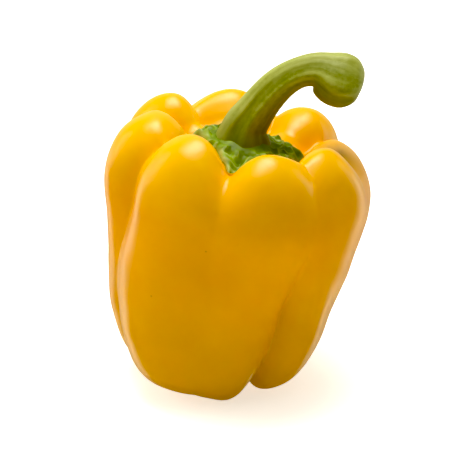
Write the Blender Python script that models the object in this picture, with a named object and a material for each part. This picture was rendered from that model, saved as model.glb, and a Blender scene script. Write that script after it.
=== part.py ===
"""A blocky bell pepper: the lobed fruit, the green calyx in its crown and the hooked stem.

Each piece is worked out in millimetres as it grew, with the fruit's axis upright on Z and its foot near height 0.
All three are then leaned over together, the lobes' lowest tips are cut flat where the pepper stands, and the
origin is put on the floor, at the middle of the whole pepper's box.
"""
import math

import bmesh
import bpy
import numpy as np
from mathutils import Matrix

MM = 0.001

# How the pepper stands: its top leans towards +X, on lobe tips with small flats cut this deep.
LEAN = math.radians(8.5)
FLAT_DEPTH = 0.6

# The fruit's outline down one side, as (radius, height): out of the dimple in the foot, round the lobe's tip, up
# the flank, over the crest and down into the hollow of the crown.
OUTLINE = [
    (0.0, 8.0), (8.0, 5.5), (16.0, 1.2), (22.0, 0.4), (29.0, 6.0), (34.5, 18.0), (38.0, 36.5), (42.0, 54.5),
    (44.5, 69.0), (43.5, 79.0), (39.0, 87.5), (31.5, 92.0), (27.4, 91.0), (23.6, 87.8), (20.4, 84.2),
    (14.0, 83.0), (8.0, 82.5), (0.0, 82.0),
]
# The outline points at which a furrow's depth is given: foot, flank, shoulder, crest and crown.
FURROW_LEVELS = (3, 6, 8, 11, 13)
# At the same levels, how full a bump's cross-section is: near 1 it is a half circle, near 0 a flat arc.
BUMP_FULLNESS = (0.90, 0.93, 0.85, 0.65, 0.70)
# And there too, the part of a bump's half width that the furrow's rounded bottom takes.
FURROW_SOFTNESS = (0.10, 0.08, 0.18, 0.06, 0.10)

# The eight furrows, counter-clockwise from above: direction at the crown and drift by the foot (degrees from +X),
# then depth at each of the levels. Every second one parts two lobes and runs to the foot.
FURROWS = [
    (304.5, -1.5, 6.0, 5.0, 1.5, 4.0, 3.0),
    (347.0, -4.5, 1.0, 0.0, 0.0, 3.5, 3.0),
    (37.5, -4.5, 5.0, 4.5, 5.0, 6.5, 5.5),
    (74.5, 0.0, 1.0, 0.5, 1.0, 6.5, 5.5),
    (128.0, 0.0, 5.0, 4.5, 5.0, 6.5, 5.5),
    (156.0, -1.0, 1.0, 0.5, 1.5, 7.0, 6.0),
    (201.5, -15.0, 6.0, 2.0, 7.0, 8.5, 6.0),
    (256.5, -4.0, 1.0, 0.0, 2.0, 8.5, 7.0),
]
# The bump after each furrow: how far it stands out at the shoulder (a share of the radius) and how much higher its
# crest is, then the same two for the tip at the foot.
BUMPS = [
    (0.93, 0.5, 1.02, 3.0),
    (0.96, -4.5, 0.97, 1.5),
    (1.11, -2.0, 1.00, 0.5),
    (1.02, 0.5, 1.00, -2.0),
    (1.12, -0.5, 1.00, -4.0),
    (1.06, -1.0, 1.11, -1.5),
    (0.95, 1.5, 1.08, -0.5),
    (0.97, 1.0, 0.88, -1.2),
]
# Rounds of evening out the direction the depth is taken in, so that deep furrows don't fold at the crest.
DEPTH_EVENING = 2
FRUIT_RINGS = 40
BUMP_STEPS = 9

# The calyx lies on the crown. Its points are given as (direction in degrees, reach), and the rim draws in between.
CALYX_POINTS = [
    (0.0, 18.5), (52.0, 17.0), (105.0, 18.0), (150.0, 20.5), (180.0, 20.5),
    (212.0, 17.5), (238.0, 18.0), (256.0, 27.0), (272.0, 17.5), (305.0, 16.5),
]
CALYX_NOTCH = 0.12
CALYX_GAP = 0.5
CALYX_THICKNESS = 2.4
CALYX_RIM = 1.2
CALYX_RINGS = 10
# The flat seat in the middle of the calyx, which the stem grows from.
SEAT_HEIGHT = 84.4
SEAT_RADIUS = 13.0
SEAT_EDGE = 16.0

# The stem's middle line with its radius there, as (x, height, radius), from the seat to the cut face of the knob.
STEM = [
    (-3.2, 84.8, 8.8), (-3.3, 88.0, 8.3), (-3.0, 91.5, 7.4), (-1.5, 95.0, 6.6), (1.2, 100.5, 6.0),
    (4.8, 106.3, 5.6), (8.8, 110.5, 5.2), (13.0, 113.2, 5.1), (17.5, 114.4, 5.9), (21.5, 113.2, 8.2),
    (25.2, 112.0, 9.2), (28.6, 111.9, 8.7), (31.2, 112.1, 6.9), (32.7, 112.4, 4.0),
]
STEM_SIDES = 20
STEM_STEPS = 2

FRUIT_COLOUR = (0.78, 0.33, 0.004, 1.0)
CALYX_COLOUR = (0.18, 0.26, 0.012, 1.0)
STEM_COLOUR = (0.22, 0.24, 0.018, 1.0)


def smooth(x, low, high):
    """0 up to low, 1 from high on, and an even S-shaped step between them."""
    t = np.clip((x - low) / (high - low), 0.0, 1.0)
    return t * t * (3.0 - 2.0 * t)


def curve_through(points, steps):
    """A smooth curve through all the points, with a cubic between each two and slopes taken from the neighbours."""
    points = np.asarray(points, float)
    chords = np.linalg.norm(np.diff(points, axis=0), axis=1)
    knots = np.concatenate([[0.0], np.cumsum(np.sqrt(chords))])
    slopes = np.gradient(points, knots, axis=0)
    along = np.linspace(0.0, len(points) - 1.0, (len(points) - 1) * steps + 1)
    i = np.minimum(along.astype(int), len(points) - 2)
    t = (along - i)[:, None]
    span = (knots[i + 1] - knots[i])[:, None]
    from_point = (2 * t**3 - 3 * t**2 + 1) * points[i] + (t**3 - 2 * t**2 + t) * span * slopes[i]
    to_point = (3 * t**2 - 2 * t**3) * points[i + 1] + (t**3 - t**2) * span * slopes[i + 1]
    return from_point + to_point


def lengths_along(curve):
    """The share of the curve's whole length that lies before each of its points."""
    steps = np.linalg.norm(np.diff(curve, axis=0), axis=1)
    reached = np.concatenate([[0.0], np.cumsum(steps)])
    return reached / reached[-1]


def arch(x, fullness, softness):
    """The height of a bump's cross-section, from 0 in the furrows at x = -1 and 1 to 1 in the middle."""
    ease = np.hypot(1.0, softness) - softness
    from_furrow = (np.hypot(1.0 - np.abs(x), softness) - softness) / ease
    low = np.sqrt(1.0 - fullness**2)
    return (np.sqrt(1.0 - (fullness * (1.0 - from_furrow)) ** 2) - low) / (1.0 - low)


def fruit_surface():
    """Radius, direction and height of the skin, each as an array of rings (foot to crown) by columns.

    The outline is swung round the axis. Each bump takes the same number of columns from one furrow to the next,
    closest together in the furrows. The skin sinks, square to the outline, by the furrow's depth where the arch of
    the bump is 0 and not at all where it is 1; then the bumps' own reaches and rises are blended in.
    """
    steps = 24
    fine = curve_through(OUTLINE, steps)
    share = lengths_along(fine)
    s = np.linspace(0.0, 1.0, FRUIT_RINGS)
    outline = np.stack([np.interp(s, share, fine[:, 0]), np.interp(s, share, fine[:, 1])], axis=1)
    r0, z0 = outline.T
    tangent = np.gradient(outline, axis=0)
    for _ in range(DEPTH_EVENING):
        tangent[1:-1] = (tangent[:-2] + 2 * tangent[1:-1] + tangent[2:]) / 4
    tangent /= np.linalg.norm(tangent, axis=1)[:, None]
    inward = np.stack([-tangent[:, 1], tangent[:, 0]], axis=1)

    levels = share[::steps][list(FURROW_LEVELS)]
    past = np.stack([smooth(s, low, high) for low, high in zip(levels, levels[1:])], axis=1)
    weights = -np.diff(past, axis=1, prepend=1.0, append=0.0)
    foot, crest = levels[0], levels[3]

    furrows = np.array(FURROWS)
    turns = np.where(furrows[:, 0] < FURROWS[0][0], 360.0, 0.0)
    drift = 1.0 - smooth(s, foot * 0.7, crest - 0.03)
    here = furrows[:, 0] + turns + drift[:, None] * furrows[:, 1]
    there = np.concatenate([here[:, 1:], here[:, :1] + 360.0], axis=1)
    depth_here = weights @ furrows[:, 2:].T
    depth_there = np.roll(depth_here, -1, axis=1)

    x = np.sin(np.linspace(-math.pi / 2, math.pi / 2, BUMP_STEPS + 1))[:-1]
    middle = ((here + there) / 2)[:, :, None]
    half = ((there - here) / 2)[:, :, None]
    direction = np.radians(middle + half * x)
    leaving = smooth(x, -1.0, 1.0)
    fullness = (weights @ BUMP_FULLNESS)[:, None, None]
    softness = (weights @ FURROW_SOFTNESS)[:, None, None]
    depth = depth_here[:, :, None] * (1 - leaving) + depth_there[:, :, None] * leaving
    depth *= 1 - arch(x, fullness, softness)
    depth *= (smooth(s, 0.0, 0.06) * (1 - smooth(s, 0.85, 0.93)))[:, None, None]

    def blended(column):
        """A bump's own value in its middle, and halfway to its neighbour's in the furrow between them."""
        own = np.array(BUMPS)[:, column, None]
        neighbour = np.where(x < 0, np.roll(own, 1, axis=0), np.roll(own, -1, axis=0))
        share_of_neighbour = smooth(np.abs(x) / 2, 0.0, 1.0)
        return own * (1 - share_of_neighbour) + neighbour * share_of_neighbour

    top = z0.max()
    upper = smooth(z0 / top, 0.15, 0.85)[:, None, None]
    reach = blended(0) * upper + blended(2) * (1 - upper)
    radius = r0[:, None, None] * (1 + (reach - 1) * smooth(r0, 8.0, 25.0)[:, None, None])
    at_crest = (smooth(z0 / top, 0.5, 1.0) * smooth(r0, 12.0, 30.0))[:, None, None]
    at_foot = ((1 - smooth(z0 / top, 0.0, 0.4)) * smooth(r0, 0.0, 15.0))[:, None, None]
    height = z0[:, None, None] + blended(1) * at_crest + blended(3) * at_foot
    radius = np.maximum(radius + inward[:, 0, None, None] * depth, 0.0)
    height = height + inward[:, 1, None, None] * depth
    shape = (FRUIT_RINGS, len(FURROWS) * BUMP_STEPS)
    return radius.reshape(shape), direction.reshape(shape), height.reshape(shape)


def calyx_reach(direction):
    """The calyx's radius in each direction: its points' reach, drawn in by the notch halfway between two points."""
    degrees = np.degrees(direction) % 360.0
    ways = np.array([way for way, _ in CALYX_POINTS] + [CALYX_POINTS[0][0] + 360.0])
    reaches = np.array([reach for _, reach in CALYX_POINTS] + [CALYX_POINTS[0][1]])
    i = np.searchsorted(ways, degrees, side="right") - 1
    t = (degrees - ways[i]) / (ways[i + 1] - ways[i])
    reach = reaches[i] * (1 - t) + reaches[i + 1] * t
    return reach * (1 - CALYX_NOTCH * 4 * t * (1 - t))


def calyx_rings(radius, direction, height):
    """The calyx as rings from the middle of its underside, out to the rim and back over the top to the middle.

    Its underside follows the skin of the crown at the gap's distance, and its top is that plus the thickness,
    which thins towards the rim, apart from the flat seat in the middle.
    """
    way = direction[-1]
    outer = calyx_reach(way)
    crown = slice(int(FRUIT_RINGS * 0.75), None)
    under, over = [], []
    for share in np.linspace(0.0, 1.0, CALYX_RINGS):
        r = outer * share
        skin = np.array([
            np.interp(r[k], radius[crown, k][::-1], height[crown, k][::-1]) for k in range(len(way))
        ])
        thickness = CALYX_THICKNESS + (CALYX_RIM - CALYX_THICKNESS) * share**2
        low = skin + CALYX_GAP
        on_seat = 1 - smooth(r, SEAT_RADIUS, SEAT_EDGE)
        high = (low + thickness) * (1 - on_seat) + SEAT_HEIGHT * on_seat
        across, along = r * np.cos(way), r * np.sin(way)
        under.append(np.stack([across, along, low], axis=1))
        over.append(np.stack([across, along, high], axis=1))
    return under + over[::-1]


def stem_rings():
    """Round sections square to the stem's middle line, which stays in the plane Y = 0, with the knob's flat cut."""
    line = curve_through(STEM, STEM_STEPS)
    tangent = np.gradient(line[:, :2], axis=0)
    tangent /= np.linalg.norm(tangent, axis=1)[:, None]
    tangent[0] = (0.0, 1.0)
    turn = np.linspace(0.0, 2 * math.pi, STEM_SIDES, endpoint=False)
    rings = []
    for (x, z, radius), (forward, up) in zip(line, tangent):
        outwards = radius * np.cos(turn)
        sideways = radius * np.sin(turn)
        rings.append(np.stack([x + up * outwards, sideways, z - forward * outwards], axis=1))
    first = np.tile(rings[0].mean(axis=0), (STEM_SIDES, 1))
    last = np.tile(rings[-1].mean(axis=0), (STEM_SIDES, 1))
    return [first] + rings + [last]


def loft(name, rings, colour, roughness):
    """A closed, smooth-shaded object over rings of points that shrink to one point at the first and last ring."""
    bm = bmesh.new()
    start = bm.verts.new(rings[0].mean(axis=0))
    end = bm.verts.new(rings[-1].mean(axis=0))
    loops = [[bm.verts.new(point) for point in ring] for ring in rings[1:-1]]
    count = len(loops[0])
    for k in range(count):
        after = (k + 1) % count
        bm.faces.new((start, loops[0][after], loops[0][k]))
        bm.faces.new((end, loops[-1][k], loops[-1][after]))
        for lower, upper in zip(loops, loops[1:]):
            bm.faces.new((lower[k], lower[after], upper[after], upper[k]))
    bmesh.ops.recalc_face_normals(bm, faces=bm.faces)
    mesh = bpy.data.meshes.new(name)
    bm.to_mesh(mesh)
    bm.free()
    mesh.shade_smooth()
    mesh.materials.append(finish(name, colour, roughness))
    piece = bpy.data.objects.new(name, mesh)
    bpy.context.collection.objects.link(piece)
    return piece


def finish(name, colour, roughness):
    """The piece's own material."""
    material = bpy.data.materials.new(name)
    material.use_nodes = True
    shader = material.node_tree.nodes["Principled BSDF"]
    shader.inputs["Base Color"].default_value = colour
    shader.inputs["Roughness"].default_value = roughness
    shader.inputs["Metallic"].default_value = 0.0
    return material


def cut_flat(piece, floor):
    """Cuts off what lies below the floor and closes each cut with a flat face."""
    bm = bmesh.new()
    bm.from_mesh(piece.data)
    everything = bm.verts[:] + bm.edges[:] + bm.faces[:]
    bmesh.ops.bisect_plane(bm, geom=everything, plane_co=(0, 0, floor), plane_no=(0, 0, -1), clear_outer=True)
    open_edges = [edge for edge in bm.edges if edge.is_boundary]
    bmesh.ops.holes_fill(bm, edges=open_edges)
    bm.to_mesh(piece.data)
    bm.free()


def corners(pieces):
    """The lowest and highest corner of all the pieces together."""
    points = np.concatenate([[vertex.co[:] for vertex in piece.data.vertices] for piece in pieces])
    return points.min(axis=0), points.max(axis=0)


def build():
    for old in list(bpy.data.objects):
        bpy.data.objects.remove(old, do_unlink=True)

    radius, direction, height = fruit_surface()
    skin = np.stack([radius * np.cos(direction), radius * np.sin(direction), height], axis=2)
    fruit = loft("fruit", list(skin), FRUIT_COLOUR, 0.3)
    calyx = loft("calyx", calyx_rings(radius, direction, height), CALYX_COLOUR, 0.5)
    stem = loft("stem", stem_rings(), STEM_COLOUR, 0.5)
    pieces = [fruit, calyx, stem]

    for piece in pieces:
        piece.data.transform(Matrix.Rotation(LEAN, 4, "Y"))
    low, _ = corners([fruit])
    floor = float(low[2]) + FLAT_DEPTH
    cut_flat(fruit, floor)
    low, high = corners(pieces)
    middle = (low + high) / 2
    for piece in pieces:
        piece.data.transform(Matrix.Scale(MM, 4) @ Matrix.Translation((-middle[0], -middle[1], -floor)))


build()
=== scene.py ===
# %% [markdown]
# # A yellow bell pepper
#
# A bell pepper is one grown thing with three skins that look quite different: the waxy yellow fruit,
# the crinkled green calyx that sits in its crown, and the ribbed stem with its thick, cut end. The
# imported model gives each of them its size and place. This script grows a fine surface for each one from
# formulas, and gives it its finish.
#
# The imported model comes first, because everything after it takes its place from there.

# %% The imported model
import math

import bpy
import numpy as np
from mathutils import Matrix, Vector


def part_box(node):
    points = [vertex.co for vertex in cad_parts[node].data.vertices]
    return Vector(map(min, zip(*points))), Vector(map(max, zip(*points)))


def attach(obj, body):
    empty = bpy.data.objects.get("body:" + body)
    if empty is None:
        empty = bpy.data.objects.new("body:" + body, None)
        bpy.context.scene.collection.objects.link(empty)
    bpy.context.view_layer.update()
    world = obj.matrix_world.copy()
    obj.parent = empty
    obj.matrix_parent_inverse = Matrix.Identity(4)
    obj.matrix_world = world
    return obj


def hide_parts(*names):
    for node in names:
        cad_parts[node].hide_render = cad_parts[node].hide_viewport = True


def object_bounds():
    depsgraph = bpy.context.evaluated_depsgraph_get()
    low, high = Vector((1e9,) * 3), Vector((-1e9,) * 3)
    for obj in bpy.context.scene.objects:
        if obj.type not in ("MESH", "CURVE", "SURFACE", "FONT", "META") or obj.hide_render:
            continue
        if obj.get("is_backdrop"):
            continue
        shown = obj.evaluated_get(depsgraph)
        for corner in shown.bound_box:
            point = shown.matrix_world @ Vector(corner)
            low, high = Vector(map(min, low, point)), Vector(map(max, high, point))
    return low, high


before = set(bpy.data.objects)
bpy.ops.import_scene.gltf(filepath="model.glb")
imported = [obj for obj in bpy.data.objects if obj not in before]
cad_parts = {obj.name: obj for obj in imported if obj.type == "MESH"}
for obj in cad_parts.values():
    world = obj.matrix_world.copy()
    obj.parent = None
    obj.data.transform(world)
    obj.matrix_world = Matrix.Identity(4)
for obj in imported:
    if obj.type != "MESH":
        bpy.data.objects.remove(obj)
packed_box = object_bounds()
MM = 0.001
fruit_low, fruit_high = (np.array(corner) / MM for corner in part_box("fruit"))
print("packed fruit, mm:", fruit_low.round(1), fruit_high.round(1))

# %% [markdown]
# ## The camera
#
# A vegetable is usually shown from a little above, with a long lens, so that its lobes keep their true
# proportions. The camera looks along +Y at the middle of the fruit. A 36 mm sensor behind a lens of 180
# mm makes an object of 117 mm fill most of the frame from 0.8 m away.

# %% The camera
CAMERA_DISTANCE = 0.8
CAMERA_ELEVATION = math.radians(23.0)
CAMERA_LENS = 179.85
aim = Vector((0.0002, -0.0012, 0.0515))
back = Vector((0.0, -math.cos(CAMERA_ELEVATION), math.sin(CAMERA_ELEVATION)))
camera = bpy.data.objects.new("camera", bpy.data.cameras.new("camera"))
camera.data.lens = CAMERA_LENS
camera.data.sensor_width = 36.0
camera.location = aim + back * CAMERA_DISTANCE
camera.rotation_euler = (-back).to_track_quat("-Z", "Y").to_euler()
bpy.context.scene.collection.objects.link(camera)
bpy.context.scene.camera = camera
print("camera at", tuple(round(c, 3) for c in camera.location))

# %% [markdown]
# ## Small helpers
#
# Every surface below is a function of two parameters, worked out for the whole grid at once with numpy.
# These are the pieces that all of them use: an S-shaped step, a smooth curve through a few given
# points, and a soft unevenness made of a few sine waves, which is what keeps a grown thing from looking
# turned on a lathe.


# %% Helpers for shapes
def smooth(x, low, high):
    """0 up to low, 1 from high on, and the step 3t^2 - 2t^3 between them, t being the share of the way."""
    t = np.clip((x - low) / (high - low), 0.0, 1.0)
    return t * t * (3.0 - 2.0 * t)


def curve_through(points, steps):
    """A smooth curve through all the points: between two of them a cubic that keeps the slope at each end,
    the slope at a point being the change from the point before it to the one after it."""
    points = np.asarray(points, float)
    chords = np.linalg.norm(np.diff(points, axis=0), axis=1)
    knots = np.concatenate([[0.0], np.cumsum(np.sqrt(chords))])
    slopes = np.gradient(points, knots, axis=0)
    along = np.linspace(0.0, len(points) - 1.0, (len(points) - 1) * steps + 1)
    i = np.minimum(along.astype(int), len(points) - 2)
    t = (along - i)[:, None]
    span = (knots[i + 1] - knots[i])[:, None]
    from_point = (2 * t**3 - 3 * t**2 + 1) * points[i] + (t**3 - 2 * t**2 + t) * span * slopes[i]
    to_point = (3 * t**2 - 2 * t**3) * points[i + 1] + (t**3 - t**2) * span * slopes[i + 1]
    return from_point + to_point


def lengths_along(curve):
    """The share of the curve's length before each point: the running sum of the steps over their sum."""
    steps = np.linalg.norm(np.diff(curve, axis=0), axis=1)
    reached = np.concatenate([[0.0], np.cumsum(steps)])
    return reached / reached[-1]


def evenly(curve, count):
    """The same curve as `count` points with the same length between each two."""
    share = lengths_along(curve)
    at = np.linspace(0.0, 1.0, count)
    return np.stack([np.interp(at, share, column) for column in curve.T], axis=-1)


def unevenness(points, size, seed, waves=9):
    """A soft noise from about -1 to 1: the mean of sine waves about `size` long in seeded directions."""
    chance = np.random.default_rng(seed)
    ways = chance.normal(size=(waves, 3))
    ways /= np.linalg.norm(ways, axis=1)[:, None]
    lengths = size * chance.uniform(0.7, 1.6, waves)
    starts = chance.uniform(0.0, 2 * math.pi, waves)
    phase = points @ (ways / lengths[:, None]).T * 2 * math.pi + starts
    return np.sin(phase).sum(axis=-1) / math.sqrt(waves)


def normals_of(grid):
    """The outward direction at each point of a closed grid: the step to the next column crossed with the
    step to the next ring, brought to length 1."""
    over = np.roll(grid, -1, axis=1) - np.roll(grid, 1, axis=1)
    up = np.gradient(grid, axis=0)
    across = np.cross(over, up)
    size = np.linalg.norm(across, axis=2)
    return across / np.maximum(size, 1e-12)[:, :, None]


print("halfway up, the S-shaped step is at", smooth(0.5, 0.0, 1.0))


# %% [markdown]
# ## From a grid to a mesh
#
# A grid of rings becomes a closed skin: each ring is joined to the next by four-sided faces, and the
# first and last ring each close on one point. The points are in metres and already in their place, so
# the object itself stays at the origin, unturned. Values that belong to a point, such as how far up the
# stem it lies, go along as attributes that the materials can read.


# %% From a grid to a mesh
def closed_skin(name, grid, **attributes):
    """A smooth mesh object over a (rings, columns, 3) grid in mm, closed at both ends by one point each."""
    rings, columns, _ = grid.shape
    body = grid[1:-1].reshape(-1, 3)
    points = np.concatenate([body, grid[:1].mean(axis=1), grid[-1:].mean(axis=1)])
    number = np.arange((rings - 2) * columns).reshape(rings - 2, columns)
    after = np.roll(number, -1, axis=1)
    quads = np.stack([number[:-1], after[:-1], after[1:], number[1:]], axis=-1).reshape(-1, 4)
    start, end = len(body), len(body) + 1
    first = np.stack([np.full(columns, start), after[0], number[0]], axis=-1)
    last = np.stack([np.full(columns, end), number[-1], after[-1]], axis=-1)
    mesh = bpy.data.meshes.new(name)
    mesh.from_pydata((points * MM).tolist(), [], quads.tolist() + first.tolist() + last.tolist())
    for label, values in attributes.items():
        values = np.asarray(values, float)
        inner = values[1:-1].reshape((-1,) + values.shape[2:])
        whole = np.concatenate([inner, values[:1].mean(axis=1), values[-1:].mean(axis=1)])
        kind = "FLOAT_VECTOR" if values.ndim == 3 else "FLOAT"
        layer = mesh.attributes.new(label, kind, "POINT")
        layer.data.foreach_set("vector" if values.ndim == 3 else "value", whole.astype(np.float32).ravel())
    mesh.shade_smooth()
    mesh.update()
    piece = bpy.data.objects.new(name, mesh)
    bpy.context.scene.collection.objects.link(piece)
    print(name, "has", len(mesh.polygons), "faces")
    return piece


print("grids are in mm; a mesh is in metres, so 1 mm becomes", MM)


# %% [markdown]
# ## The fruit's design
#
# A blocky pepper has four lobes, and each lobe ends at the crown in two shoulder bumps. So eight
# furrows run down from the hollow of the crown. Every second one runs on to the foot and parts two
# lobes; the others all but fade out below the shoulder. The outline of one side, the furrows and the
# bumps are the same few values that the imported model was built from, so the fine skin lies where the
# plain one did.
#
# A furrow isn't equally deep or sharp all the way. Its depth, and the shape of the bumps beside it, are
# given at five levels from the foot to the crown, and eased from one level to the next.

# %% The fruit's design
OUTLINE = [
    (0.0, 8.0), (8.0, 5.5), (16.0, 1.2), (22.0, 0.4), (29.0, 6.0), (34.5, 18.0), (38.0, 36.5), (42.0, 54.5),
    (44.5, 69.0), (43.5, 79.0), (39.0, 87.5), (31.5, 92.0), (27.4, 91.0), (23.6, 87.8), (20.4, 84.2),
    (14.0, 83.0), (8.0, 82.5), (0.0, 82.0),
]
# The outline points at which a furrow's depth is given: foot, flank, shoulder, crest and crown.
FURROW_LEVELS = (3, 6, 8, 11, 13)
# At the same levels, how full a bump's cross-section is and how soft the furrow's bottom is.
BUMP_FULLNESS = (0.90, 0.93, 0.85, 0.65, 0.70)
FURROW_SOFTNESS = (0.10, 0.08, 0.18, 0.06, 0.10)
# Direction at the crown and drift by the foot (degrees), then the depth at each of the levels (mm).
FURROWS = np.array([
    (304.5, -1.5, 6.0, 5.0, 1.5, 4.0, 3.0),
    (347.0, -4.5, 1.0, 0.0, 0.0, 3.5, 3.0),
    (37.5, -4.5, 5.0, 4.5, 5.0, 6.5, 5.5),
    (74.5, 0.0, 1.0, 0.5, 1.0, 6.5, 5.5),
    (128.0, 0.0, 5.0, 4.5, 5.0, 6.5, 5.5),
    (156.0, -1.0, 1.0, 0.5, 1.5, 7.0, 6.0),
    (201.5, -15.0, 6.0, 2.0, 7.0, 8.5, 6.0),
    (256.5, -4.0, 1.0, 0.0, 2.0, 8.5, 7.0),
])
# The bump after each furrow: reach and rise at the shoulder, then the same two for the tip at the foot.
BUMPS = np.array([
    (0.93, 0.5, 1.02, 3.0),
    (0.96, -4.5, 0.97, 1.5),
    (1.11, -2.0, 1.00, 0.5),
    (1.02, 0.5, 1.00, -2.0),
    (1.12, -0.5, 1.00, -4.0),
    (1.06, -1.0, 1.11, -1.5),
    (0.95, 1.5, 1.08, -0.5),
    (0.97, 1.0, 0.88, -1.2),
])
LEAN = math.radians(8.5)
FLAT_DEPTH = 0.6
# Rounds of evening out the direction in which the depth is taken off.
DEPTH_EVENING = 66
FRUIT_RINGS = 230
BUMP_STEPS = 38
print("furrows", len(FURROWS), "and bumps", len(BUMPS))

# %% [markdown]
# ## The skin of the fruit
#
# The skin could be sculpted or built from spheres that are blended together. A formula over a grid is
# steadier: one row of points follows the outline, and each column is swung to its direction. Columns
# run along the furrows and crowd together in them, so the creases stay crisp. Between two furrows the
# skin rises in an arch, and the furrow's depth is taken off square to the outline. At the crest the
# outline turns so tightly that a deep furrow would fold over itself, so that direction is evened out
# first.


# %% The skin of the fruit
def arch(x, fullness, softness):
    """The height of a bump's cross-section, from 0 in the furrows (x = -1 and 1) to 1 in the middle: the
    top part of an ellipse, with the furrow's bottom rounded by a hyperbola."""
    ease = np.hypot(1.0, softness) - softness
    from_furrow = (np.hypot(1.0 - np.abs(x), softness) - softness) / ease
    low = np.sqrt(1.0 - fullness**2)
    return (np.sqrt(1.0 - (fullness * (1.0 - from_furrow)) ** 2) - low) / (1.0 - low)


def of_bumps(values, x):
    """Each bump's own value in its middle (x = 0), easing to the mean of the two bumps in the furrow."""
    own = values[:, None]
    neighbour = np.where(x < 0, np.roll(own, 1, axis=0), np.roll(own, -1, axis=0))
    share = smooth(np.abs(x) / 2, 0.0, 1.0)
    return own * (1 - share) + neighbour * share


def fruit_surface(rings, steps):
    """Radius, direction and height of the skin, each as rings (foot to crown) by columns.

    radius = outline's radius x the bumps' reach + inward x depth; height = outline's height + the bumps'
    rise + inward x depth; depth = the furrows' depth at this height x (1 - arch).
    """
    per_point = 24
    fine = curve_through(OUTLINE, per_point)
    share = lengths_along(fine)
    s = np.linspace(0.0, 1.0, rings)
    outline = evenly(fine, rings)
    tangent = np.gradient(outline, axis=0)
    for _ in range(DEPTH_EVENING):
        tangent[1:-1] = (tangent[:-2] + 2 * tangent[1:-1] + tangent[2:]) / 4
    tangent /= np.linalg.norm(tangent, axis=1)[:, None]
    in_r, in_z = -tangent[:, 1, None, None], tangent[:, 0, None, None]
    r0, z0 = outline[:, 0, None, None], outline[:, 1, None, None]

    levels = share[::per_point][list(FURROW_LEVELS)]
    past = np.stack([smooth(s, low, high) for low, high in zip(levels, levels[1:])], axis=1)
    weights = -np.diff(past, axis=1, prepend=1.0, append=0.0)
    foot, crest = levels[0], levels[3]
    turns = np.where(FURROWS[:, 0] < FURROWS[0, 0], 360.0, 0.0)
    drift = 1.0 - smooth(s, foot * 0.7, crest - 0.03)
    here = FURROWS[:, 0] + turns + drift[:, None] * FURROWS[:, 1]
    there = np.concatenate([here[:, 1:], here[:, :1] + 360.0], axis=1)
    depth_here = (weights @ FURROWS[:, 2:].T)[:, :, None]
    depth_there = np.roll(depth_here, -1, axis=1)

    x = np.sin(np.linspace(-math.pi / 2, math.pi / 2, steps + 1))[:-1]
    direction = np.radians((here + there)[:, :, None] / 2 + (there - here)[:, :, None] / 2 * x)
    leaving = smooth(x, -1.0, 1.0)
    fullness = (weights @ BUMP_FULLNESS)[:, None, None]
    softness = (weights @ FURROW_SOFTNESS)[:, None, None]
    depth = (depth_here * (1 - leaving) + depth_there * leaving) * (1 - arch(x, fullness, softness))
    depth *= (smooth(s, 0.0, 0.06) * (1 - smooth(s, 0.85, 0.93)))[:, None, None]

    top = z0.max()
    upper = smooth(z0 / top, 0.15, 0.85)
    reach = of_bumps(BUMPS[:, 0], x) * upper + of_bumps(BUMPS[:, 2], x) * (1 - upper)
    radius = r0 * (1 + (reach - 1) * smooth(r0, 8.0, 25.0))
    height = z0 + of_bumps(BUMPS[:, 1], x) * smooth(z0 / top, 0.5, 1.0) * smooth(r0, 12.0, 30.0)
    height = height + of_bumps(BUMPS[:, 3], x) * (1 - smooth(z0 / top, 0.0, 0.4)) * smooth(r0, 0.0, 15.0)
    radius = np.maximum(radius + in_r * depth, 0.0)
    height = height + in_z * depth
    shape = (rings, len(FURROWS) * steps)
    return radius.reshape(shape), direction.reshape(shape), height.reshape(shape)


def around_axis(radius, direction, height):
    """Points from a radius, a direction and a height: (r cos a, r sin a, h)."""
    return np.stack([radius * np.cos(direction), radius * np.sin(direction), height], axis=-1)


skin_radius, skin_direction, skin_height = fruit_surface(FRUIT_RINGS, BUMP_STEPS)
skin = around_axis(skin_radius, skin_direction, skin_height)
print("skin grown upright, mm:", skin.reshape(-1, 3).min(0).round(1), skin.reshape(-1, 3).max(0).round(1))

# %% [markdown]
# ## Standing
#
# The pepper doesn't stand upright: it leans over until enough lobe tips touch. Everything is therefore
# grown upright and then leaned by the same turn about Y. The shift after it comes from the packed
# fruit's box, so that the fine skin stands where the plain one stands. What would go below the floor is
# pressed flat, as the tips are.


# %% Standing
def leaned(points):
    """The points turned about Y by the lean: x' = x cos + z sin, z' = z cos - x sin."""
    turn = np.array(Matrix.Rotation(LEAN, 3, "Y"))
    return points @ turn.T


lying = leaned(skin).reshape(-1, 3)
shift = (fruit_low + fruit_high) / 2 - (lying.min(axis=0) + lying.max(axis=0)) / 2
shift[2] = -FLAT_DEPTH - lying[:, 2].min()
print("shift from growing to standing, mm:", shift.round(2))


def standing(points):
    """Grown points put where the pepper stands: leaned, shifted, and never below the floor."""
    placed = leaned(points) + shift
    placed[..., 2] = np.maximum(placed[..., 2], 0.0)
    return placed


# %% [markdown]
# A real flank is never quite even. Two layers of soft waves move the skin in and out: long ones of
# about half a millimetre that bend the highlights, and shorter, much smaller ones. They fade out at the
# floor and in the crown.

# %% The fruit
LONG_WAVE, LONG_WAVE_DEPTH = 34.0, 0.40
SHORT_WAVE, SHORT_WAVE_DEPTH = 13.0, 0.10
stood = leaned(skin) + shift
calm = smooth(stood[:, :, 2], 0.0, 6.0) * smooth(skin_radius, 12.0, 22.0)
waves = unevenness(skin, LONG_WAVE, 3) * LONG_WAVE_DEPTH
waves = waves + unevenness(skin, SHORT_WAVE, 8) * SHORT_WAVE_DEPTH
skin = skin + normals_of(skin) * (waves * calm)[:, :, None]
fruit = closed_skin("fruit_skin", standing(skin))


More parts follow.
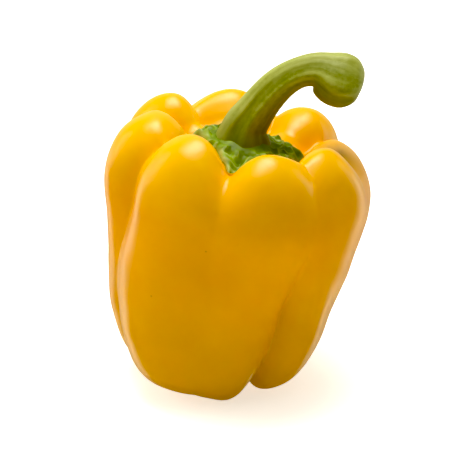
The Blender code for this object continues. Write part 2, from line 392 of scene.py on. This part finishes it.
# %% [markdown]
# ## The calyx
#
# The calyx is what is left of the flower: a green collar whose short points have dried and crumpled
# against the hollow of the crown. It is made as a cloth would be laid: each point of the collar takes
# the height of the skin under it, plus a thickness. The collar climbs to the stem in the middle. Past
# the stem's foot it crumples: 1 - |noise| gives sharp ridges with round hollows between them, and two
# sizes of it are added up, with fine wrinkles over them. One longer, flat point reaches out between the
# two front bumps.


# %% The calyx
# Direction (degrees), reach and height of the crumpled lump (mm) of each point.
CALYX_POINTS = np.array([
    (0.0, 18.5, 2.6), (52.0, 17.0, 1.8), (105.0, 18.0, 1.8), (150.0, 20.5, 3.2), (180.0, 20.5, 4.6),
    (212.0, 17.5, 3.0), (238.0, 18.0, 2.2), (256.0, 27.0, 0.8), (272.0, 17.5, 1.8), (305.0, 16.5, 1.6),
])
CALYX_NOTCH = 0.12
CALYX_RINGS = 70
COLLAR_THICKNESS = 1.0
COLLAR_SUNK = 0.4
# The share of the reach at which the rim starts to round off.
RIM_START = 0.82
# The collar climbs by this much to the stem, from about this far away from it.
CLIMB, CLIMB_REACH = 6.0, 11.0
STEM_FOOT = np.array([-3.3, 0.0])
# Where the crumpling starts and is complete, from the stem's middle, and the sizes that it is made of (mm).
CRUMPLE_START, CRUMPLE_FULL = 9.5, 12.5
FOLD_SIZE, RIDGE_SIZE = 6.5, 4.0
WRINKLE_SIZE, WRINKLE_HEIGHT = 1.7, 0.14


def calyx_rim(direction):
    """The rim's radius and lump height in each direction: in proportion between the two points beside it,
    and the reach is drawn in halfway between them."""
    points = np.concatenate([CALYX_POINTS, CALYX_POINTS[:1] + [360.0, 0.0, 0.0]])
    ways = points[:, 0]
    degrees = np.degrees(direction) % 360.0
    reach, lump = (np.interp(degrees, ways, points[:, column]) for column in (1, 2))
    i = np.searchsorted(ways, degrees, side="right") - 1
    t = (degrees - ways[i]) / (ways[i + 1] - ways[i])
    return reach * (1 - CALYX_NOTCH * 4 * t * (1 - t)), lump


def height_of_skin(r, columns_radius, columns_height):
    """The skin's height at radius r in each column of the crown: in proportion between the two rings that
    r lies between. The radius shrinks towards the middle, so counting the wider rings finds them."""
    wider = (columns_radius[:, None, :] > r[None, :, :]).sum(axis=0)
    i = np.clip(wider - 1, 0, len(columns_radius) - 2)
    column = np.arange(r.shape[1])[None, :]
    r_out, r_in = columns_radius[i, column], columns_radius[i + 1, column]
    t = (r_out - r) / np.maximum(r_out - r_in, 1e-9)
    return columns_height[i, column] * (1 - t) + columns_height[i + 1, column] * t


crown = slice(int(FRUIT_RINGS * 0.76), None)
way = skin_direction[-1]
rim, lump_height = calyx_rim(way)
share = np.linspace(0.0, 1.0, CALYX_RINGS)[:, None]
collar_r = rim[None, :] * share
collar_way = np.broadcast_to(way, collar_r.shape)
bed = height_of_skin(collar_r, skin_radius[crown], skin_height[crown])
flat_place = around_axis(collar_r, collar_way, np.zeros_like(collar_r))
from_stem = np.linalg.norm(flat_place[:, :, :2] - STEM_FOOT, axis=2)
climb = CLIMB * np.exp(-((from_stem / CLIMB_REACH) ** 4))
beyond = smooth(from_stem, CRUMPLE_START, CRUMPLE_FULL)
folds = 1 - np.abs(unevenness(flat_place, FOLD_SIZE, 21))
ridges = 1 - np.abs(unevenness(flat_place, RIDGE_SIZE, 24))
wrinkles = unevenness(flat_place, WRINKLE_SIZE, 5) * WRINKLE_HEIGHT
crumple = (0.15 + 0.45 * folds + 0.40 * ridges) * lump_height + wrinkles
thickness = COLLAR_THICKNESS + climb + beyond * crumple
past_start = ((share - RIM_START) / (1.0 - RIM_START)).clip(0.0, 1.0)
thickness *= np.sqrt(1 - past_start**2) * 0.9 + 0.1
over = around_axis(collar_r, collar_way, bed + thickness)
under = around_axis(collar_r, collar_way, bed - COLLAR_SUNK)
collar = np.concatenate([under, over[::-1]])
edge = np.concatenate([share, share[::-1]]) * np.ones_like(rim)
lump = np.concatenate([0 * ridges, (ridges * beyond)[::-1]])
calyx = closed_skin("calyx_collar", standing(collar), edge=edge, lump=lump)

# %% [markdown]
# ## The stem
#
# The stem is a thick stalk that bends over and ends in a swollen knob where it was cut. A curve with a
# bevel would give a round, even pipe. A profile carried along a path gives more: at each step along the
# middle line there is a section square to it, with its own radius, and the ribs that run the stem's
# whole length are waves in the section. The last radii shrink faster and faster, which closes the cut
# end as a blunt dome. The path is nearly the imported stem's; its end is a little rounder.

# %% The stem
# The middle line with its radius there, from foot to cut end, as (x, height, radius).
STEM = [
    (-3.2, 84.8, 8.8), (-3.3, 88.0, 8.3), (-3.0, 91.5, 7.4), (-1.5, 95.0, 6.6), (1.2, 100.5, 6.0),
    (4.8, 106.3, 5.6), (8.8, 110.5, 5.2), (13.0, 113.2, 5.1), (17.5, 114.4, 5.9), (21.5, 113.2, 8.2),
    (25.0, 112.2, 9.1), (28.2, 111.9, 8.8), (30.6, 111.7, 7.5), (32.2, 111.6, 5.4), (33.0, 111.5, 2.6),
]
STEM_STEPS = 14
STEM_SIDES = 160
STEM_LENGTH = 52.0
# The foot is wider by this much, and the widening falls off over about this distance (mm).
STEM_FLARE, FLARE_REACH = 0.8, 4.0
# Rounds of evening out between neighbouring sections.
STEM_SMOOTHING = 30
# The span of rib heights, as shares of the radius, over which `rib` goes from 0 (groove) to 1 (ridge).
RIB_SPAN = 0.07
line = curve_through(STEM, STEM_STEPS)
tangent = np.gradient(line[:, :2], axis=0)
tangent /= np.linalg.norm(tangent, axis=1)[:, None]
turn = np.linspace(0.0, 2 * math.pi, STEM_SIDES, endpoint=False)[None, :]
along = lengths_along(line[:, :2])[:, None]
ribs = (
    0.050 * np.cos(5 * turn + 0.6 + 1.2 * along)
    + 0.016 * np.cos(9 * turn + 2.0 - 1.5 * along)
    + 0.006 * np.cos(17 * turn + 1.0 + 2.0 * along)
)
ribs *= 1 - smooth(along, 0.9, 1.0)
radius = line[:, 2, None] * (1 + ribs)
radius += STEM_FLARE * np.exp(-(((along * STEM_LENGTH) / FLARE_REACH) ** 2))
outwards, sideways = radius * np.cos(turn), radius * np.sin(turn)
forward, up = tangent[:, :1], tangent[:, 1:]
stalk = np.stack([line[:, :1] + up * outwards, sideways, line[:, 1:2] - forward * outwards], axis=-1)
for _ in range(STEM_SMOOTHING):
    stalk[1:-1] = (stalk[:-2] + 2 * stalk[1:-1] + stalk[2:]) / 4
ends = stalk[[0, -1]].mean(axis=1, keepdims=True) * np.ones((1, STEM_SIDES, 1))
stalk = np.concatenate([ends[:1], stalk, ends[1:]])
along = np.concatenate([along[:1], along, along[-1:]]) * np.ones_like(turn)
rib = np.concatenate([ribs[:1], ribs, ribs[-1:]]) / RIB_SPAN + 0.5
round_it = np.ones_like(along)
grain = np.stack([np.cos(turn) * round_it, np.sin(turn) * round_it, along * 2.0], axis=-1)
stem = closed_skin("stem_stalk", standing(stalk), along=along, grain=grain, rib=rib)


# %% [markdown]
# ## Finishes
#
# A material is a small network of nodes. These helpers keep the networks short: one makes a node and
# sets its values, another joins noise to a colour ramp. Patterns read the Object coordinates, which are
# the row's own place in metres, or an attribute of the mesh where the pattern has to follow the stem.


# %% Helpers for finishes
def new_finish(name):
    """A material with a Principled shader, and its node tree."""
    material = bpy.data.materials.new(name)
    material.use_nodes = True
    tree = material.node_tree
    return material, tree, tree.nodes["Principled BSDF"]


def add(tree, kind, **settings):
    """A new node; each setting is a property of it or, with a capital first letter, an input's value."""
    node = tree.nodes.new(kind)
    for label, value in settings.items():
        if label[0].isupper():
            node.inputs[label.replace("_", " ")].default_value = value
        else:
            setattr(node, label, value)
    return node


def noise(tree, place, scale, detail=3.0, roughness=0.5):
    """A noise value from 0 to 1 at a place, scale being the number of blotches in a metre or unit."""
    node = add(tree, "ShaderNodeTexNoise", Scale=scale, Detail=detail, Roughness=roughness)
    tree.links.new(place, node.inputs["Vector"])
    return node.outputs["Fac"]


def between(tree, value, low, high, to_low=0.0, to_high=1.0):
    """The value's share of the way from low to high, kept inside them, as a new range."""
    node = add(tree, "ShaderNodeMapRange", clamp=True)
    for label, number in (("From Min", low), ("From Max", high), ("To Min", to_low), ("To Max", to_high)):
        node.inputs[label].default_value = number
    tree.links.new(value, node.inputs["Value"])
    return node.outputs["Result"]


def blend(tree, share, low, high):
    """A colour between low and high, each of which is a colour or another node's output."""
    node = add(tree, "ShaderNodeMix", data_type="RGBA")
    colours = [socket for socket in node.inputs if socket.type == "RGBA"]
    for socket, colour in zip(colours, (low, high)):
        if isinstance(colour, tuple):
            socket.default_value = (*colour, 1.0)
        else:
            tree.links.new(colour, socket)
    tree.links.new(share, node.inputs["Factor"])
    return node.outputs[2]


print("finishes before the first one:", len(bpy.data.materials))


# %% [markdown]
# ### The waxy skin
#
# The skin of a ripe pepper is a clear wax over yellow flesh. Light goes in a little way and comes out
# more orange, so the shader has a little subsurface light of a warm colour. The yellow is never one
# flat colour: broad patches are deeper. The bumps at the crown are painted a lighter, more lemon
# yellow, which is painted light for the stronger light that falls on them from above. Towards the foot
# the colour turns darker and more olive: partly the tint of olive green that the foot keeps because it
# ripens last, and partly painted shade for the dimmer light down there. A few tiny brown specks are
# scattered over it: each cell of a Voronoi pattern has a random colour, and only the cells above a
# limit get a speck.

# %% The waxy skin
RIPE = (0.83, 0.345, 0.001)
DEEP = (0.79, 0.30, 0.001)
LEMON_PAINTED_LIGHT = (0.90, 0.455, 0.001)
SPECK = (0.25, 0.09, 0.002)
OLIVE_AND_SHADE = (0.56, 0.285, 0.001)
wax, tree, shader = new_finish("waxy_skin")
place = add(tree, "ShaderNodeTexCoord").outputs["Object"]
patches = between(tree, noise(tree, place, 38.0, 2.0), 0.35, 0.65)
colour = blend(tree, patches, RIPE, DEEP)
height = add(tree, "ShaderNodeSeparateXYZ")
tree.links.new(place, height.inputs[0])
# Painted light: high on the crown the bumps turn a lighter, more lemon yellow, standing in for the stronger
# light from above.
lit_from_above = between(tree, height.outputs["Z"], 0.070, 0.090)
colour = blend(tree, lit_from_above, colour, LEMON_PAINTED_LIGHT)
# Darker and more olive towards the foot: partly the foot's own olive tint, partly painted shade for the
# dimmer light low down.
low_down = between(tree, height.outputs["Z"], 0.0, 0.060, 0.75, 0.0)
colour = blend(tree, low_down, colour, OLIVE_AND_SHADE)
specks = add(tree, "ShaderNodeTexVoronoi", Scale=110.0)
tree.links.new(place, specks.inputs["Vector"])
chance = add(tree, "ShaderNodeSeparateColor")
tree.links.new(specks.outputs["Color"], chance.inputs[0])
chosen = between(tree, chance.outputs[0], 0.90, 0.91)
middle = between(tree, specks.outputs["Distance"], 0.02, 0.05, 0.45, 0.0)
speck = add(tree, "ShaderNodeMath", operation="MULTIPLY")
tree.links.new(chosen, speck.inputs[0])
tree.links.new(middle, speck.inputs[1])
colour = blend(tree, speck.outputs[0], colour, SPECK)
tree.links.new(colour, shader.inputs["Base Color"])
tree.links.new(between(tree, noise(tree, place, 160.0), 0.3, 0.7, 0.33, 0.38), shader.inputs["Roughness"])
shader.inputs["Subsurface Weight"].default_value = 0.12
shader.inputs["Subsurface Radius"].default_value = (1.0, 0.35, 0.05)
shader.inputs["Subsurface Scale"].default_value = 0.003
shader.inputs["Specular IOR Level"].default_value = 0.5
fruit.data.materials.append(wax)
print(wax.name, "is made of", len(tree.nodes), "nodes")

# %% [markdown]
# ### The calyx's green
#
# The collar is a patchy green. It is duller by the stem, paler on the ridges of its crumples, and turns
# to a straw colour along the rim. Its ridges and its rim are known from the attributes `lump` and
# `edge`, which the mesh carries along.

# %% The calyx's green
FRESH = (0.23, 0.33, 0.020)
DULL = (0.07, 0.12, 0.004)
PALE = (0.42, 0.48, 0.14)
STRAW = (0.45, 0.44, 0.16)
collar_green, tree, shader = new_finish("calyx_green")
place = add(tree, "ShaderNodeTexCoord").outputs["Object"]
colour = blend(tree, between(tree, noise(tree, place, 260.0, 4.0), 0.35, 0.65), DULL, FRESH)
on_ridge = add(tree, "ShaderNodeAttribute", attribute_name="lump").outputs["Fac"]
colour = blend(tree, between(tree, on_ridge, 0.55, 1.0, 0.0, 0.8), colour, PALE)
at_rim = add(tree, "ShaderNodeAttribute", attribute_name="edge").outputs["Fac"]
colour = blend(tree, between(tree, at_rim, 0.45, 0.75, 0.8, 0.0), colour, DULL)
colour = blend(tree, between(tree, at_rim, 0.92, 1.0, 0.0, 0.6), colour, STRAW)
tree.links.new(colour, shader.inputs["Base Color"])
shader.inputs["Roughness"].default_value = 0.50
shader.inputs["Specular IOR Level"].default_value = 0.3
calyx.data.materials.append(collar_green)
print(collar_green.name, "is made of", len(tree.nodes), "nodes")

# %% [markdown]
# ### The stem's green
#
# Fibres run along the stem, so its colour changes across it in fine streaks and hardly changes along
# it. The noise reads the `grain` attribute, in which going once round the stem is a full circle and its
# whole length is short. The first part of `grain` is 1 on the inside of the hook and -1 on its outside.
# The inside, which is the underside, gets painted shade in an ochre brown, warmed by painted light
# bounced up from the yellow fruit; the outside, which is the top, is painted paler as a painted
# highlight. The foot is darker, the grooves between the ribs are darkened with painted shade, and a
# fine mottle lies over everything.

# %% The stem's green
STEM_PALE_AND_LIT = (0.42, 0.44, 0.11)
STEM_MID = (0.16, 0.19, 0.008)
STEM_DARK_AND_SHADE = (0.06, 0.09, 0.004)
STEM_BOUNCE_SHADE = (0.13, 0.095, 0.005)
stem_green, tree, shader = new_finish("stem_green")
place = add(tree, "ShaderNodeTexCoord").outputs["Object"]
grain = add(tree, "ShaderNodeAttribute", attribute_name="grain").outputs["Vector"]
streaks = between(tree, noise(tree, grain, 3.0, 5.0, 0.6), 0.30, 0.75)
colour = blend(tree, streaks, STEM_MID, STEM_PALE_AND_LIT)
mottle = between(tree, noise(tree, place, 500.0, 4.0, 0.6), 0.45, 0.7, 0.0, 0.55)
colour = blend(tree, mottle, colour, STEM_PALE_AND_LIT)
round_stem = add(tree, "ShaderNodeSeparateXYZ")
tree.links.new(grain, round_stem.inputs[0])
along_it = add(tree, "ShaderNodeAttribute", attribute_name="along").outputs["Fac"]
on_rib = add(tree, "ShaderNodeAttribute", attribute_name="rib").outputs["Fac"]
# Painted shade: the grooves between the ribs are darkened as though shade lay in them.
colour = blend(tree, between(tree, on_rib, 0.0, 0.6, 0.35, 0.0), colour, STEM_DARK_AND_SHADE)
colour = blend(tree, between(tree, along_it, 0.05, 0.22, 0.85, 0.0), colour, STEM_DARK_AND_SHADE)
# Painted shade with painted bounce light: the underside, inside the hook, turns ochre brown as though
# warmed by light from the yellow fruit.
colour = blend(tree, between(tree, round_stem.outputs["X"], -0.1, 0.9, 0.0, 0.75), colour, STEM_BOUNCE_SHADE)
# Painted highlight: the outside of the hook, its top, is painted paler as though lit from above.
colour = blend(tree, between(tree, round_stem.outputs["X"], -0.95, -0.4, 0.5, 0.0), colour, STEM_PALE_AND_LIT)
tree.links.new(colour, shader.inputs["Base Color"])
shader.inputs["Roughness"].default_value = 0.48
shader.inputs["Specular IOR Level"].default_value = 0.3
bump = add(tree, "ShaderNodeBump", Strength=0.20, Distance=0.0004)
tree.links.new(noise(tree, grain, 9.0, 5.0, 0.6), bump.inputs["Height"])
tree.links.new(bump.outputs["Normal"], shader.inputs["Normal"])
stem.data.materials.append(stem_green)
print(stem_green.name, "is made of", len(tree.nodes), "nodes")

# %% [markdown]
# ## The table
#
# The pepper stands on a white table that runs on into a white background. The table gives off a little
# light of its own, and more of it straight into the camera, so that the pepper's shadow stays pale. It
# doesn't show in gloss, because its reflection would lay a grey haze over the whole front of the
# pepper.

# %% The table
TABLE_HALF = 3.0
TABLE_GLOW, TABLE_GLOW_SEEN = 0.36, 0.66
table_corners = [(x * TABLE_HALF, y * TABLE_HALF, 0.0) for x, y in ((-1, -1), (1, -1), (1, 1), (-1, 1))]
floor_mesh = bpy.data.meshes.new("table")
floor_mesh.from_pydata(table_corners, [], [(0, 1, 2, 3)])
floor = bpy.data.objects.new("table", floor_mesh)
bpy.context.scene.collection.objects.link(floor)
table_white, tree, shader = new_finish("table_white")
shader.inputs["Base Color"].default_value = (0.92, 0.90, 0.82, 1.0)
shader.inputs["Roughness"].default_value = 0.9
shader.inputs["Specular IOR Level"].default_value = 0.0
shader.inputs["Emission Color"].default_value = (1.0, 0.98, 0.90, 1.0)
seen = add(tree, "ShaderNodeLightPath").outputs["Is Camera Ray"]
glow = between(tree, seen, 0.0, 1.0, TABLE_GLOW, TABLE_GLOW_SEEN)
tree.links.new(glow, shader.inputs["Emission Strength"])
floor_mesh.materials.append(table_white)
floor.visible_glossy = False
floor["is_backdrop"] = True
print("table", 2 * TABLE_HALF, "m wide")

# %% [markdown]
# ## The lamps
#
# One soft lamp hangs over the pepper and leaves a soft oval on the top of each bump. A wide ceiling and
# two fills add light from above, the left and the front, and don't show in gloss. Two pairs of upright
# strips stand behind the pepper, to the left and right. The higher pair brightens the edges of the
# shoulders. The lower pair hangs almost wholly below the table's level, where only gloss can see it
# because the table is hidden from gloss, and draws a thin pale line down the edges of the lobes.


# %% The lamps
LAMPS_AIM = Vector((0.0, 0.0, 0.05))


def soft_lamp(name, place, size, radiance, seen_in_gloss=True):
    """A rectangular lamp that faces the pepper; its power is radiance x pi x area."""
    lamp = bpy.data.lights.new(name, "AREA")
    lamp.shape = "RECTANGLE"
    lamp.size, lamp.size_y = size
    lamp.energy = radiance * math.pi * size[0] * size[1]
    holder = bpy.data.objects.new(name, lamp)
    holder.location = place
    holder.rotation_euler = (LAMPS_AIM - Vector(place)).to_track_quat("-Z", "Y").to_euler()
    holder.visible_glossy = seen_in_gloss
    bpy.context.scene.collection.objects.link(holder)
    print(name, "gives", round(lamp.energy, 2), "W")
    return holder


soft_lamp("overhead", (-0.03, 0.07, 0.75), (0.50, 0.36), 9.5)
soft_lamp("ceiling", (0.0, 0.1, 1.1), (1.8, 1.8), 0.62, seen_in_gloss=False)
soft_lamp("left_fill", (-0.9, 0.05, 0.45), (0.8, 0.6), 1.8, seen_in_gloss=False)
for side in (-1.0, 1.0):
    soft_lamp("side_strip", (side * 1.0, 0.45, 0.35), (0.22, 0.9), 3.0)
    low_strip = soft_lamp("low_strip", (side * 0.60, 0.57, -0.35), (0.17, 0.9), 3.0)
    low_strip.data.color = (1.0, 0.96, 0.78)
soft_lamp("front_fill", (-0.6, -0.9, 1.0), (1.0, 1.0), 0.2, seen_in_gloss=False)

# %% [markdown]
# ## The white room
#
# To the camera the room is plain white. As a light it shines only from behind the pepper, which gives
# its sides bright rims and leaves its front a deep yellow. A ripe pepper's yellow holds less blue than
# a screen can show, so the view takes a little blue off everything: without that the faint haze of
# gloss would grey the yellow.

# %% The white room
ROOM_STRENGTH = 0.9
# How far towards +Y a direction has to point before the room starts to shine, and to shine fully.
ROOM_START, ROOM_FULL = 0.5, 0.95
BLUE_TAKEN_OFF = 0.04
room = bpy.data.worlds.new("studio")
room.use_nodes = True
tree = room.node_tree
tree.nodes.clear()
towards = add(tree, "ShaderNodeSeparateXYZ")
tree.links.new(add(tree, "ShaderNodeTexCoord").outputs["Generated"], towards.inputs[0])
behind = between(tree, towards.outputs["Y"], ROOM_START, ROOM_FULL, 0.0, ROOM_STRENGTH)
as_light = add(tree, "ShaderNodeBackground")
tree.links.new(behind, as_light.inputs["Strength"])
as_seen = add(tree, "ShaderNodeBackground", Color=(1.0, 1.0, 1.0, 1.0), Strength=1.0)
either = add(tree, "ShaderNodeMixShader")
tree.links.new(add(tree, "ShaderNodeLightPath").outputs["Is Camera Ray"], either.inputs[0])
tree.links.new(as_light.outputs[0], either.inputs[1])
tree.links.new(as_seen.outputs[0], either.inputs[2])
tree.links.new(either.outputs[0], add(tree, "ShaderNodeOutputWorld").inputs["Surface"])
bpy.context.scene.world = room
view = bpy.context.scene.view_settings
view.view_transform = "Standard"
view.use_curve_mapping = True
view.curve_mapping.black_level = (0.0, 0.0, BLUE_TAKEN_OFF)
view.curve_mapping.update()
print("room lights directions with y above", ROOM_START)

# %% [markdown]
# ## Putting it together
#
# Each fine piece rides on the imported model's body and stands for its plain node, which is hidden.
# Its finish was given to it above. The two boxes are printed, so that it can be seen that nothing has
# grown.

# %% Putting it together
for piece, node, slot in (
    (fruit, "fruit", "fruit_skin"),
    (calyx, "calyx", "calyx_green"),
    (stem, "stem", "stem_green"),
):
    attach(piece, "root")
    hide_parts(node)

made_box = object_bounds()
boxes = {"cad": [list(corner) for corner in packed_box], "visual": [list(corner) for corner in made_box]}
for name, box in boxes.items():
    print(name, "box, mm:", [[round(c / MM, 1) for c in corner] for corner in box])
